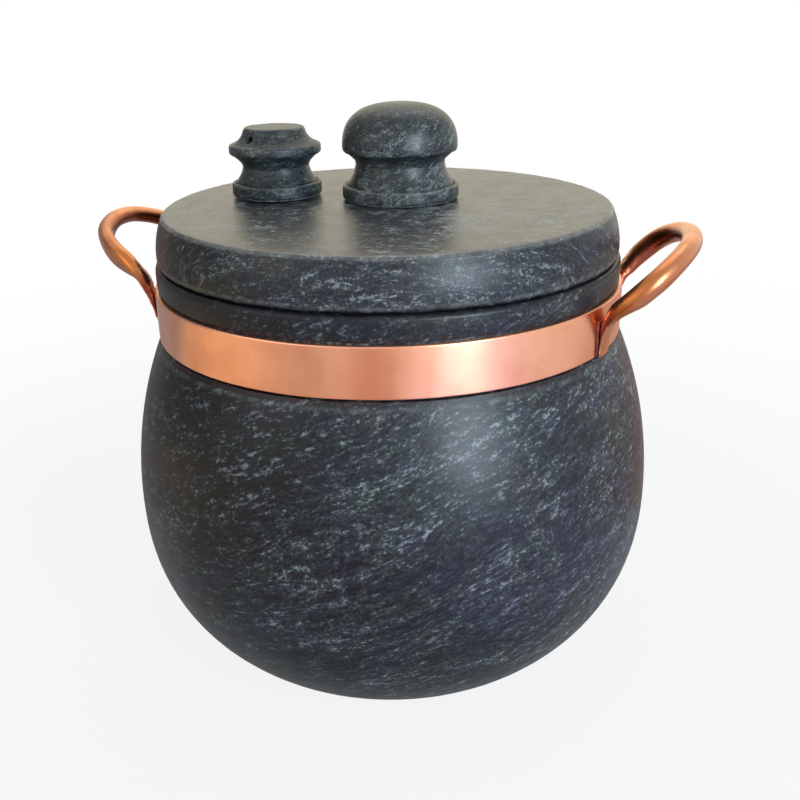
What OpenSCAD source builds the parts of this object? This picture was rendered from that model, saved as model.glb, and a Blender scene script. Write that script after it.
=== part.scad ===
// Turned stone pressure cooker with a copper band and two copper loop handles.
// A heavy stone lid drops into the mouth of a round-bellied pot, and a small
// stone weight stands over a vent tube in the lid and lets steam out sideways.
// Millimetres, Z up, origin on the pot's axis at the face it stands on,
// with the two handles on the X axis. Outlines are [radius, height] points.

/* [Pot] */
// Height of the pot from the table to its rim
pot_h = 189; // [150:1:240]
// Radius of the belly at its widest
belly_r = 117.4; // [110:0.1:140]
// Height of the widest place of the belly
belly_z = 84; // [70:1:95]
// Radius of the flat face that the pot stands on
base_r = 60; // [40:1:75]
// Outer radius of the neck above the band
neck_r = 101; // [98:0.1:108]
// How far the side stands out past the neck just below the band
neck_flare = 0.2; // [0:0.05:2]
// Wall at the belly
belly_wall = 13.5; // [8:0.5:18]
// Thickness of the pot's floor
floor_t = 16; // [8:0.5:24]
// Radius of the mouth that the lid drops into
mouth_r = 86; // [70:0.5:90]
// Rounding of the rim's edges
rim_round = 2.2; // [0.5:0.1:4]

/* [Band] */
// Distance from the rim down to the band
band_drop = 10.8; // [6:0.1:20]
// Height of the copper strip
band_h = 20.6; // [14:0.1:26]
// Thickness of the copper strip
band_t = 2; // [1:0.1:3]
// Depth of the groove that the band is shrunk into
band_groove = 0.85; // [0.3:0.05:1.5]
// Length of the lap where the strip's ends are riveted
lap_length = 26; // [18:1:40]
// How far the lap's outer end is filed in from the strip's edges
lap_inset = 0.4; // [0.2:0.1:2]
// Radius of a band rivet's shank
rivet_r = 1.5; // [1:0.1:2]
// Radius of a band rivet's head
rivet_head_r = 3.2; // [2.4:0.1:4]

/* [Handles] */
// Diameter of the copper tube
tube_d = 8.6; // [7:0.1:11]
// Width of the flattened end of the tube
tab_w = 10.6; // [9:0.1:16]
// Thickness of the flattened end of the tube
tab_t = 1.9; // [1.4:0.1:3]
// Widest gap between the band and the tube
finger_gap = 23.35; // [18:0.05:35]
// Rise of the loop's middle above the band's middle
handle_rise = 30.8; // [20:0.1:40]
// Angle from the right loop's middle to each of its feet
right_foot_angle = 18.3; // [15:0.1:24]
// Angle from the left loop's middle to each of its feet
left_foot_angle = 20.3; // [15:0.1:24]
// How far the right loop's feet reach below the band's middle
right_foot_drop = 10.9; // [4:0.1:14]
// How far the left loop's feet reach below the band's middle
left_foot_drop = 6.9; // [4:0.1:14]

/* [Lid] */
// Largest radius of the lid
lid_r = 100; // [95:0.1:106]
// Height of the lid above the rim
lid_h = 20.3; // [14:0.1:30]
// Height of the lid's widest place above the rim
lid_wide_z = 4; // [3:0.1:8]
// Curve radius of the lid's side
lid_side_curve_r = 35; // [30:1:80]
// Rounding of the lid's top edge
lid_top_round = 2.4; // [0.5:0.1:4]
// Rounding of the lid's lower edge
lid_low_round = 1.8; // [0.5:0.1:2.5]
// How far the lid's spigot reaches into the mouth
spigot_h = 8; // [4:0.5:14]
// Gap between the spigot and the mouth, all round
spigot_gap = 0.8; // [0.4:0.1:2]

/* [Lid knob] */
// Place of the knob along X
knob_x = 3.2; // [-10:0.1:20]
// Place of the knob along Y
knob_y = 11.2; // [-20:0.1:20]
// Height of the knob
knob_h = 41; // [34:0.5:60]
// Radius of the knob's foot
knob_foot_r = 25.8; // [22:0.1:32]
// Height of the knob's foot
knob_foot_h = 5.4; // [3:0.1:8]
// Radius of the knob's waist
knob_waist_r = 19.5; // [14:0.1:21]
// Radius of the knob's cap
knob_cap_r = 25.3; // [22:0.1:32]
// Height of the cap's lower lip
knob_lip_z = 19.8; // [17:0.1:24]

/* [Steam weight] */
// Place of the weight and its vent tube along X
weight_x = -53.3; // [-66:0.1:-50]
// Place of the weight and its vent tube along Y
weight_y = 7; // [-20:0.1:20]
// Height of the weight
weight_h = 30.6; // [29:0.1:45]
// Radius of the weight's foot
weight_foot_r = 20.2; // [17:0.1:24]
// Height of the weight's foot
weight_foot_h = 4.9; // [3:0.1:7]
// Radius of the weight's waist
weight_waist_r = 14.8; // [12:0.1:16]
// Radius of the weight's collar
weight_collar_r = 20.5; // [17:0.1:24]
// Height of the middle of the collar
weight_collar_z = 21.4; // [19:0.1:23]
// Radius of the weight's flat top
weight_top_r = 13.3; // [10:0.1:15]
// Radius of the hole that lets steam out of the side
steam_hole_r = 1.7; // [1:0.1:2]
// Direction of the steam hole seen from above
steam_hole_angle = -114; // [-180:1:180]
// Upward slope of the steam hole
steam_hole_slope = 15; // [0:1:25]
// Gap between the weight's foot and the lid
weight_lift_gap = 0.4; // [0.3:0.1:1]

/* [Vent tube] */
// Height of the tube's tip above the lid
tip_z = 25.5; // [22:0.1:26]
// Outer radius of the tube above the lid
vent_r = 4; // [3:0.1:5]
// Radius of the steam passage in the tube
vent_bore_r = 2; // [1:0.1:2.2]
// Radius of the tube's threaded part
vent_thread_r = 5; // [4:0.1:6]
// Radius of the tube's flange on the lid
vent_flange_r = 8.5; // [7:0.1:9]
// Thickness of the tube's flange
vent_flange_t = 3; // [1.5:0.1:4]
// Gap between the tube and the weight's bore, all round
weight_bore_gap = 0.5; // [0.3:0.1:1]

/* [Fasteners] */
// Radius of the knob's threaded stud
stud_r = 4; // [3:0.1:5]
// Depth of the stud's hole in the knob
stud_depth = 24; // [14:1:28]
// Gap between a fastener and its hole in the lid
through_gap = 0.3; // [0.1:0.1:0.6]
// Thickness of the washers under the lid
washer_t = 1.6; // [1:0.1:3]
// How far each washer reaches past its nut's corners
washer_reach = 1.5; // [0.5:0.1:3]
// Height of the nuts
nut_h = 6.4; // [4:0.1:10]
// Wall of the nuts from thread to flat
nut_wall = 2.6; // [2:0.1:4]
// Length of thread that shows below each nut
thread_show = 2.5; // [1:0.1:6]

/* [Hidden] */

$fn = 120;
stone = "#2f3634";
worked_stone = "#3a4240";
copper = "#c9764f";
brass = "#b99a58";

// Cuts run past a surface by this much
over = 1;
// Steps along one round stretch of a turned outline
steps = 16;
// Exponents that give the lower belly its fullness
belly_full = 2.3;
belly_turn = 1.5;
// Exponent that gives the knob's dome its flat crown
dome_full = 2.6;
// How deep the braze sinks a flattened tube end into the band
braze_sink = 0.25;
// Where the band's lap lies, seen from above
lap_angle = 90;

groove_r = neck_r - band_groove;
band_r = groove_r + band_t;
band_top = pot_h - band_drop;
band_mid = band_top - band_h / 2;
lid_top = pot_h + lid_h;
// The side's curve leaves the widest place upright and meets the band's lower edge
side_rise = band_top - band_h - belly_z;
side_draw = belly_r - neck_r - neck_flare;
side_curve_r = (pow(side_rise, 2) + pow(side_draw, 2)) / (2 * side_draw);
spigot_z = pot_h - spigot_h;
spigot_r = mouth_r - spigot_gap;
flange_pocket_r = vent_flange_r + weight_bore_gap;
flange_pocket_h = vent_flange_t + 2 * weight_bore_gap;
lap_degrees = lap_length / band_r * 180 / PI;

// Points of a round stretch about centre c, from angle a to angle b
function arc(c, r, a, b, n = 8) =
    [for (i = [0 : n]) c + r * [cos(a + (b - a) * i / n), sin(a + (b - a) * i / n)]];

// Points on a smooth curve through the points p, n to each stretch
function through(p, n = 6) =
    let (last = len(p) - 1,
         q = concat([2 * p[0] - p[1]], p, [2 * p[last] - p[last - 1]]))
    concat([for (i = [1 : last], k = [0 : n - 1])
        let (t = k / n)
        0.5 * (2 * q[i] + (q[i + 1] - q[i - 1]) * t
            + (2 * q[i - 1] - 5 * q[i] + 4 * q[i + 1] - q[i + 2]) * pow(t, 2)
            + (3 * q[i] - q[i - 1] - 3 * q[i + 1] + q[i + 2]) * pow(t, 3))], [p[last]]);

module turned(outline) rotate_extrude() polygon(outline);

// Radius of the pot's side above its widest place
function upper_side(z) =
    belly_r - side_curve_r + sqrt(pow(side_curve_r, 2) - pow(z - belly_z, 2));

// A bowl's curve from its flat bottom, radius low_r at height low_z, out to high_r
function bowl(low_r, low_z, high_r, high_z) =
    [for (i = [0 : steps])
        let (share = cos(90 * i / steps))
        [low_r + (high_r - low_r) * pow(1 - pow(share, belly_full), 1 / belly_turn),
         high_z - (high_z - low_z) * share]];

// The side from height low to height high, moved inwards by inset
function side(low, high, inset) =
    [for (i = [1 : steps])
        let (z = low + (high - low) * i / steps)
        [upper_side(z) - inset, z]];

// Height at which the hollow's side meets the straight mouth
mouth_reach = mouth_r + belly_wall - belly_r + side_curve_r;
mouth_low = belly_z + sqrt(pow(side_curve_r, 2) - pow(mouth_reach, 2));

module pot_body() {
    outer = concat(
        [[0, 0]],
        bowl(base_r, 0, belly_r, belly_z),
        side(belly_z, band_top - band_h, 0),
        [[groove_r, band_top - band_h], [groove_r, band_top], [neck_r, band_top]],
        arc([neck_r - rim_round, pot_h - rim_round], rim_round, 0, 90),
        [[0, pot_h]]);
    hollow = concat(
        [[0, floor_t]],
        bowl(base_r - belly_wall, floor_t, belly_r - belly_wall, belly_z),
        side(belly_z, mouth_low, belly_wall),
        arc([mouth_r + rim_round, pot_h - rim_round], -rim_round, 0, -90),
        [[mouth_r + rim_round, pot_h + over], [0, pot_h + over]]);
    color(stone) difference() {
        turned(outer);
        turned(hollow);
    }
}

// Carries its child to each rivet place on the band's lap
module at_rivets() {
    for (turn = [-1, 1])
        rotate(lap_angle + turn * lap_degrees / 4)
            translate([groove_r, 0, band_mid])
                rotate([0, 90, 0])
                    children();
}

module copper_band() {
    color(copper) difference() {
        union() {
            translate([0, 0, band_top - band_h])
                difference() {
                    cylinder(h = band_h, r = band_r);
                    translate([0, 0, -over]) cylinder(h = band_h + 2 * over, r = groove_r);
                }
            rotate(lap_angle - lap_degrees / 2)
                translate([0, 0, band_top - band_h + lap_inset])
                    rotate_extrude(angle = lap_degrees)
                        translate([band_r - braze_sink, 0])
                            square([band_t + braze_sink, band_h - 2 * lap_inset]);
        }
        at_rivets() translate([0, 0, -over]) cylinder(h = 2 * band_t + 2 * over, r = rivet_r);
    }
}

module band_rivets() {
    head_h = rivet_head_r / 2;
    head_curve_r = (pow(rivet_head_r, 2) + pow(head_h, 2)) / (2 * head_h);
    head_spread = asin(rivet_head_r / head_curve_r);
    color(copper) at_rivets() {
        cylinder(h = 2 * band_t, r = rivet_r);
        translate([0, 0, 2 * band_t])
            turned(concat([[0, 0]],
                arc([0, head_h - head_curve_r], head_curve_r, 90 - head_spread, 90)));
    }
}

// One row of a handle for each place where the tube changes, from a foot to the
// loop's middle: share of the foot angle, share of the finger gap, share of the
// rise and how far the tube is flattened there
right_bend = [[1, 0, -0.1, 0.9], [1.005, 0.025, 0.13, 0.65], [1.025, 0.12, 0.31, 0.24],
              [1.012, 0.405, 0.465, 0], [0.89, 0.71, 0.73, 0], [0.615, 0.89, 0.92, 0],
              [0.295, 0.95, 0.985, 0], [0, 1, 1, 0]];
left_bend = [[1, 0, 0, 0.9], [0.995, 0.025, 0.23, 0.65], [0.975, 0.1, 0.38, 0.24],
             [0.91, 0.325, 0.47, 0], [0.76, 0.595, 0.64, 0], [0.515, 0.86, 0.83, 0],
             [0.24, 0.965, 0.955, 0], [0, 1, 1, 0]];
tube_sides = 16;

function tube_thick(flat) = tube_d + flat * (tab_t - tube_d);
function tube_wide(flat) = tube_d + flat * (tab_w - tube_d);

// Centre of the tube and its flatness at one row
function station(row, foot_angle) =
    let (gap = row[1] * (finger_gap + braze_sink) - braze_sink,
         from_axis = band_r + gap + tube_thick(row[3]) / 2,
         turn = row[0] * foot_angle)
    [from_axis * cos(turn), from_axis * sin(turn), band_mid + row[2] * handle_rise, row[3]];

// The tube's section at a station: a circle that goes over to a bar with round
// edges, with its flat side towards the pot's axis
function section(at, along) =
    let (outward = [at[0], at[1], 0] / norm([at[0], at[1], 0]),
         across = cross(along, outward) / norm(cross(along, outward)),
         out = cross(across, along),
         bend = 2 / (2 + 2 * at[3]))
    [for (k = [0 : tube_sides - 1])
        let (a = 360 * (k + 0.5) / tube_sides)
        [at[0], at[1], at[2]]
        + across * sign(cos(a)) * pow(abs(cos(a)), bend) * tube_wide(at[3]) / 2
        + out * sign(sin(a)) * pow(abs(sin(a)), bend) * tube_thick(at[3]) / 2];

module handle(bend, foot_angle, foot_drop) {
    foot = [1, 0, -foot_drop / handle_rise, 1];
    half = [for (row = concat([foot], bend)) station(row, foot_angle)];
    last = len(half) - 1;
    mirrored = [for (i = [last - 1 : -1 : 0]) [half[i][0], -half[i][1], half[i][2], half[i][3]]];
    line = through(concat(half, mirrored), 5);
    ends = len(line) - 1;
    rings = [for (i = [0 : ends])
        let (before = line[max(i - 1, 0)],
             after = line[min(i + 1, ends)],
             along = [for (k = [0 : 2]) after[k] - before[k]])
        section(line[i], along / norm(along))];
    color(copper) polyhedron(
        points = [for (ring = rings, point = ring) point],
        faces = concat(
            [[for (k = [0 : tube_sides - 1]) k]],
            [[for (k = [tube_sides - 1 : -1 : 0]) ends * tube_sides + k]],
            [for (i = [0 : ends - 1], k = [0 : tube_sides - 1])
                let (a = i * tube_sides + k,
                     b = i * tube_sides + (k + 1) % tube_sides)
                [a, a + tube_sides, b + tube_sides, b]]));
}

module right_handle() handle(right_bend, right_foot_angle, right_foot_drop);

module left_handle() rotate(180) handle(left_bend, left_foot_angle, left_foot_drop);

module at_knob(z) translate([knob_x, knob_y, z]) children();

module at_vent(z) translate([weight_x, weight_y, z]) children();

function lid_side(z) = lid_r - pow(z - lid_wide_z, 2) / (2 * lid_side_curve_r);

module lid() {
    top_r = lid_side(lid_h - lid_top_round);
    low_r = lid_side(lid_low_round);
    outline = concat(
        [[0, -spigot_h], [spigot_r - rim_round / 2, -spigot_h],
         [spigot_r, rim_round / 2 - spigot_h], [spigot_r, 0]],
        arc([low_r - lid_low_round, lid_low_round], lid_low_round, -90, 0),
        [for (i = [1 : steps])
            let (z = lid_low_round + (lid_h - lid_top_round - lid_low_round) * i / steps)
            [lid_side(z), z]],
        arc([top_r - lid_top_round, lid_h - lid_top_round], lid_top_round, 0, 90),
        [[0, lid_h]]);
    cut_h = lid_h + spigot_h + 2 * over;
    color(stone) difference() {
        translate([0, 0, pot_h]) turned(outline);
        at_knob(spigot_z - over) cylinder(h = cut_h, r = stud_r + through_gap);
        at_vent(spigot_z - over) cylinder(h = cut_h, r = vent_thread_r + through_gap);
    }
}

module lid_knob() {
    step = knob_foot_r - knob_waist_r;
    lip_r = 2.6;
    waist_z = (knob_foot_h + knob_lip_z) / 2 + 2;
    dome_z = knob_lip_z + lip_r;
    outline = concat(
        [[0, 0], [knob_foot_r - 0.6, 0], [knob_foot_r, 0.6]],
        arc([knob_foot_r - 1, knob_foot_h - 1], 1, 0, 70, 3),
        through([[knob_waist_r + 0.62 * step, knob_foot_h + 0.6],
                 [knob_waist_r + 0.2 * step, (knob_foot_h + waist_z) / 2],
                 [knob_waist_r, waist_z],
                 [knob_waist_r + 0.08 * step, knob_lip_z - 2.6],
                 [knob_cap_r - lip_r, knob_lip_z]]),
        arc([knob_cap_r - lip_r, dome_z], lip_r, -70, -10, 5),
        [for (i = [0 : steps])
            let (share = sin(90 * i / steps))
            [knob_cap_r * pow(1 - pow(share, dome_full), 1 / dome_full),
             dome_z + (knob_h - dome_z) * share]]);
    color(worked_stone) at_knob(lid_top) difference() {
        turned(outline);
        translate([0, 0, -over]) cylinder(h = stud_depth + over, r = stud_r);
    }
}

// Length of thread from the lid's underside down to its lower end
thread_below = washer_t + nut_h + thread_show;

module knob_stud() {
    length = stud_depth + lid_h + spigot_h + thread_below;
    edge = stud_r / 5;
    color(brass) at_knob(spigot_z - thread_below)
        turned([[0, 0], [stud_r - edge, 0], [stud_r, edge], [stud_r, length], [0, length]]);
}

function nut_flat(thread_r) = thread_r + nut_wall;
function nut_corner(thread_r) = nut_flat(thread_r) / cos(30);

module washer(thread_r) {
    translate([0, 0, -washer_t]) difference() {
        cylinder(h = washer_t, r = nut_corner(thread_r) + washer_reach);
        translate([0, 0, -over]) cylinder(h = washer_t + 2 * over, r = thread_r);
    }
}

module nut(thread_r) {
    corner = nut_corner(thread_r);
    flat = nut_flat(thread_r);
    slope = corner - flat;
    translate([0, 0, -washer_t - nut_h]) difference() {
        intersection() {
            cylinder(h = nut_h, r = corner, $fn = 6);
            turned([[0, 0], [flat, 0], [corner, slope], [corner, nut_h], [0, nut_h]]);
        }
        translate([0, 0, -over]) cylinder(h = nut_h + 2 * over, r = thread_r);
    }
}

module knob_washer() color(brass) at_knob(spigot_z) washer(stud_r);

module knob_nut() color(brass) at_knob(spigot_z) nut(stud_r);

module vent_tube() {
    length = spigot_h + lid_h + thread_below;
    edge = vent_r / 5;
    color(brass) at_vent(spigot_z - thread_below) difference() {
        turned([[0, 0], [vent_thread_r - edge, 0], [vent_thread_r, edge], [vent_thread_r, length],
                [vent_flange_r, length], [vent_flange_r, length + vent_flange_t - edge],
                [vent_flange_r - edge, length + vent_flange_t], [vent_r, length + vent_flange_t],
                [vent_r, length + tip_z - edge], [vent_r - edge, length + tip_z],
                [0, length + tip_z]]);
        translate([0, 0, -over]) cylinder(h = length + tip_z + 2 * over, r = vent_bore_r);
    }
}

module vent_washer() color(brass) at_vent(spigot_z) washer(vent_thread_r);

module vent_nut() color(brass) at_vent(spigot_z) nut(vent_thread_r);

module steam_weight() {
    step = weight_foot_r - weight_waist_r;
    waist_z = (weight_foot_h + weight_collar_z) / 2 - 0.8;
    collar_round = 1.8;
    outline = concat(
        [[0, weight_lift_gap], [weight_foot_r - 0.6, weight_lift_gap],
         [weight_foot_r, weight_lift_gap + 0.6]],
        arc([weight_foot_r - 1, weight_foot_h - 1], 1, 0, 70, 3),
        through([[weight_waist_r + 0.58 * step, weight_foot_h + 0.6],
                 [weight_waist_r + 0.16 * step, (weight_foot_h + waist_z) / 2 + 0.6],
                 [weight_waist_r, waist_z],
                 [weight_waist_r + 0.2 * step, weight_collar_z - 4.9],
                 [weight_collar_r - collar_round, weight_collar_z - 2]]),
        arc([weight_collar_r - collar_round, weight_collar_z], collar_round, -45, 60, 6),
        through([[weight_collar_r - 2.2, weight_collar_z + 3],
                 [weight_top_r + 1.8, weight_collar_z + 5.6],
                 [weight_top_r + 0.3, weight_h - 1]]),
        [[weight_top_r, weight_h - 0.4], [weight_top_r - 0.5, weight_h], [0, weight_h]]);
    hole_from = tip_z - 2 * steam_hole_r;
    color(worked_stone) at_vent(lid_top) difference() {
        turned(outline);
        cylinder(h = flange_pocket_h, r = flange_pocket_r);
        cylinder(h = tip_z, r = vent_r + weight_bore_gap);
        translate([0, 0, hole_from])
            rotate([0, 90 - steam_hole_slope, steam_hole_angle])
                cylinder(h = weight_collar_r + over, r = steam_hole_r);
    }
}

pot_body();
copper_band();
band_rivets();
right_handle();
left_handle();
lid();
lid_knob();
knob_stud();
knob_washer();
knob_nut();
vent_tube();
vent_washer();
vent_nut();
steam_weight();
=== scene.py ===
import math

import bpy
from mathutils import Matrix, Vector

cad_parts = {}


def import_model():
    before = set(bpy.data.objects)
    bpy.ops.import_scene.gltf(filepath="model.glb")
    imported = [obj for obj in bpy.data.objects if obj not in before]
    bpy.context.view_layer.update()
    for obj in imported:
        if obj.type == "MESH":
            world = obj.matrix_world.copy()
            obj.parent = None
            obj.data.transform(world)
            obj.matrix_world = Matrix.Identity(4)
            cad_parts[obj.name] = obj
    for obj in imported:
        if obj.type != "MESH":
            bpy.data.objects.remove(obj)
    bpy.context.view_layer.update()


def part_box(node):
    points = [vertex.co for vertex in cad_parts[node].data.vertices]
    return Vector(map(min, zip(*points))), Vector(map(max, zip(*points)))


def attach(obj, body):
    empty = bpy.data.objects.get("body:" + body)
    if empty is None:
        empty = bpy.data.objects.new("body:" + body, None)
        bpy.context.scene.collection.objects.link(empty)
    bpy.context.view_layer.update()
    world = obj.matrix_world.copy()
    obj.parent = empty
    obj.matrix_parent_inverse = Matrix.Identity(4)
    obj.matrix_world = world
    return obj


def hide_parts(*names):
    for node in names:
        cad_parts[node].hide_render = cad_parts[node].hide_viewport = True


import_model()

# Turned soapstone pressure cooker with a copper band and two copper loop handles.
# Outlines are lists of (radius, height) points in millimetres, spun round a vertical axis.
MM = 0.001


def low(node):
    """Lowest corner of a part of the frame, in millimetres."""
    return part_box(node)[0] / MM


def high(node):
    """Highest corner of a part of the frame, in millimetres."""
    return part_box(node)[1] / MM


def centre(node):
    """Place of a turned part's axis, in millimetres."""
    middle = (low(node) + high(node)) / 2
    return middle.x, middle.y


# Sizes that the frame gives
rim_z = high("pot_body").z
belly_r = high("pot_body").x
band_r = high("copper_band").x
lap_r = high("copper_band").y
band_low = low("copper_band").z
band_top = high("copper_band").z
lid_r = high("lid").x
lid_top = high("lid").z
lid_low = low("lid").z
knob_at = centre("lid_knob")
weight_at = centre("steam_weight")
band_mid = (band_low + band_top) / 2

# Sizes of the pot, as its maker would give them
BELLY_Z = 84
BASE_R = 60
NECK_R = 101
NECK_FLARE = 0.2
GROOVE_R = 100.15
GROOVE_GAP = 0.6
ARRIS = 0.8
WALL = 13.5
FLOOR = 16
MOUTH_R = 86
RIM_ROUND = 2.2
BELLY_FULL = 2.3
BELLY_TURN = 1.5

side_rise = band_low - BELLY_Z
side_draw = belly_r - NECK_R - NECK_FLARE
side_curve_r = (side_rise ** 2 + side_draw ** 2) / (2 * side_draw)

# Sides of a turned piece
COARSE = 64
MIDDLE = 192
FINE = 384


# Short calls for modelling

def deselect():
    if bpy.context.mode != "OBJECT":
        bpy.ops.object.mode_set(mode="OBJECT")
    bpy.ops.object.select_all(action="DESELECT")


def pick(piece):
    deselect()
    piece.select_set(True)
    bpy.context.view_layer.objects.active = piece


def settle(piece):
    """Puts the piece's place into its mesh."""
    pick(piece)
    bpy.ops.object.transform_apply(location=True, rotation=True, scale=True)


def join(name, *parts):
    """Makes several objects one."""
    pick(parts[0])
    for part in parts[1:]:
        part.select_set(True)
    bpy.ops.object.join()
    parts[0].name = name
    return parts[0]


def modify(piece, kind, **settings):
    """Adds a modifier, sets it and applies it."""
    pick(piece)
    bpy.ops.object.modifier_add(type=kind)
    modifier = piece.modifiers[-1]
    for name, value in settings.items():
        setattr(modifier, name, value)
    bpy.ops.object.modifier_apply(modifier=modifier.name)


def smooth(piece, angle=38):
    """Smooth shading that keeps flat faces flat and sharp corners sharp."""
    pick(piece)
    bpy.ops.object.shade_smooth_by_angle(angle=math.radians(angle))
    modify(piece, "WEIGHTED_NORMAL", keep_sharp=True, weight=60)


def cut(piece, cutter, operation="DIFFERENCE"):
    modify(piece, "BOOLEAN", operation=operation, solver="EXACT", object=cutter)
    bpy.data.objects.remove(cutter)


def dents(piece, depth, size, group=""):
    """Moves the surface inwards by up to depth, in soft dents of about the given size."""
    texture = bpy.data.textures.new("dents", "CLOUDS")
    texture.noise_scale = size * MM
    texture.noise_depth = 2
    modify(piece, "DISPLACE", texture=texture, strength=-depth * MM, mid_level=0,
           vertex_group=group, texture_coords="LOCAL")


def weigh(piece, name, share):
    """Adds a vertex group, its weight worked out by share() from each point in millimetres."""
    group = piece.vertex_groups.new(name=name)
    for vertex in piece.data.vertices:
        weight = share(vertex.co / MM)
        if weight > 0:
            group.add([vertex.index], min(weight, 1), "REPLACE")


def knock_edges(piece, rings, reach, depth, size, at=(0, 0)):
    """Knocks back a turned piece's edges, each a ring given by its radius and height."""
    def near(place):
        away = math.hypot(place.x - at[0], place.y - at[1])
        return 1 - min(math.hypot(away - r, place.z - z) for r, z in rings) / reach
    weigh(piece, "edges", near)
    dents(piece, depth, size, "edges")
    piece.vertex_groups.clear()


def arc(middle, radius, start, end, steps=6):
    """Points of a round stretch about its middle, from one angle to another in degrees."""
    turns = [math.radians(start + (end - start) * i / steps) for i in range(steps + 1)]
    return [(middle[0] + radius * math.cos(a), middle[1] + radius * math.sin(a)) for a in turns]


def through(points, steps=6):
    """Points on a smooth curve through the given ones."""
    first = tuple(2 * a - b for a, b in zip(points[0], points[1]))
    last = tuple(2 * a - b for a, b in zip(points[-1], points[-2]))
    q = [first, *points, last]
    curve = []
    for i in range(1, len(points)):
        for k in range(steps):
            t = k / steps
            curve.append(tuple(
                0.5 * (2 * b + (c - a) * t + (2 * a - 5 * b + 4 * c - d) * t ** 2
                       + (3 * b - a - 3 * c + d) * t ** 3)
                for a, b, c, d in zip(q[i - 1], q[i], q[i + 1], q[i + 2])))
    return curve + [points[-1]]


def line(start, end, steps):
    """Points along a straight stretch, without its start."""
    return [(start[0] + (end[0] - start[0]) * i / steps, start[1] + (end[1] - start[1]) * i / steps)
            for i in range(1, steps + 1)]


def turned(name, outline, at=(0, 0), sides=MIDDLE, degrees=360):
    """Extrudes a point along an outline and spins it about a vertical axis."""
    deselect()
    points = [Vector((at[0] + r, at[1], z)) * MM for r, z in outline]
    bpy.ops.mesh.primitive_plane_add(size=MM, location=points[0])
    piece = bpy.context.object
    piece.name = name
    bpy.ops.object.mode_set(mode="EDIT")
    bpy.ops.mesh.merge(type="CENTER")
    for here, there in zip(points, points[1:]):
        bpy.ops.mesh.extrude_vertices_move(TRANSFORM_OT_translate={"value": there - here})
    bpy.ops.mesh.select_all(action="SELECT")
    bpy.ops.mesh.spin(steps=sides, angle=math.radians(degrees), axis=(0, 0, 1),
                      center=(at[0] * MM, at[1] * MM, 0))
    bpy.ops.mesh.select_all(action="SELECT")
    bpy.ops.mesh.remove_doubles(threshold=0.004 * MM)
    if degrees < 360:
        bpy.ops.mesh.fill_holes(sides=0)
    bpy.ops.mesh.select_all(action="SELECT")
    bpy.ops.mesh.normals_make_consistent(inside=False)
    settle(piece)
    return piece


def rod(name, radius, start, end, sides=COARSE, end_radius=None):
    """A straight round bar, or a cone, between two points in millimetres."""
    deselect()
    start, end = Vector(start) * MM, Vector(end) * MM
    along = end - start
    bpy.ops.mesh.primitive_cone_add(
        vertices=sides, radius1=radius * MM, radius2=(radius if end_radius is None else end_radius) * MM,
        depth=along.length, location=(start + end) / 2,
        rotation=along.to_track_quat("Z", "Y").to_euler())
    piece = bpy.context.object
    piece.name = name
    settle(piece)
    return piece


# Camera, placed by the ellipses of the rim and band in an 800 x 800 picture

TURN = 15.2
PITCH = 22.2
ROLL = 1.15


def camera():
    data = bpy.data.cameras.new("camera")
    data.lens = 45
    data.sensor_width = 36
    view = bpy.data.objects.new("camera", data)
    bpy.context.scene.collection.objects.link(view)
    turn = (Matrix.Rotation(math.radians(TURN), 4, "Z")
            @ Matrix.Rotation(math.radians(90 - PITCH), 4, "X")
            @ Matrix.Rotation(math.radians(-ROLL), 4, "Z"))
    place = Vector((117.8, -418.8, rim_z + 104.8)) * MM
    view.matrix_world = Matrix.Translation(place) @ turn
    bpy.context.scene.camera = view


camera()


# Short calls for materials

def add(tree, kind, inputs=None, **settings):
    """Adds a node, sets it, and fills its inputs with values or with other nodes' outputs."""
    node = tree.nodes.new(kind)
    for name, value in settings.items():
        setattr(node, name, value)
    for key, value in (inputs or {}).items():
        if isinstance(value, bpy.types.NodeSocket):
            tree.links.new(value, node.inputs[key])
        else:
            node.inputs[key].default_value = value
    return node


def maths(tree, operation, a, b=0.0, clamp=False):
    node = add(tree, "ShaderNodeMath", {0: a, 1: b}, operation=operation, use_clamp=clamp)
    return node.outputs[0]


def times(tree, *values):
    """Product of several values."""
    product = values[0]
    for value in values[1:]:
        product = maths(tree, "MULTIPLY", product, value)
    return product


def blend(tree, share, a, b, mode="MIX"):
    node = add(tree, "ShaderNodeMix", {0: share, 6: a, 7: b}, data_type="RGBA", blend_type=mode)
    return node.outputs[2]


def ramp(tree, value, start, end, low_value=0.0, high_value=1.0):
    """Takes values from start to end over to a new range, with soft ends."""
    node = add(tree, "ShaderNodeMapRange",
               {0: value, 1: start, 2: end, 3: low_value, 4: high_value},
               interpolation_type="SMOOTHSTEP")
    return node.outputs[0]


def grain(tree, vector, scale, detail=2.0, roughness=0.5):
    node = add(tree, "ShaderNodeTexNoise",
               {"Vector": vector, "Scale": scale, "Detail": detail, "Roughness": roughness})
    return node.outputs[0]


def stretched(tree, vector, scale):
    """The vector with each of its axes scaled."""
    node = add(tree, "ShaderNodeVectorMath", {0: vector, 1: scale}, operation="MULTIPLY")
    return node.outputs[0]


def new_group(name, inputs, outputs):
    """A node group with named sockets. Returns the group, its inputs and its output node."""
    group = bpy.data.node_groups.new(name, "ShaderNodeTree")
    for socket, kind, value in inputs:
        made = group.interface.new_socket(socket, in_out="INPUT", socket_type=kind)
        if value is not None:
            made.default_value = value
    for socket, kind in outputs:
        group.interface.new_socket(socket, in_out="OUTPUT", socket_type=kind)
    given = group.nodes.new("NodeGroupInput").outputs
    result = group.nodes.new("NodeGroupOutput").inputs
    return group, given, result


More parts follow.
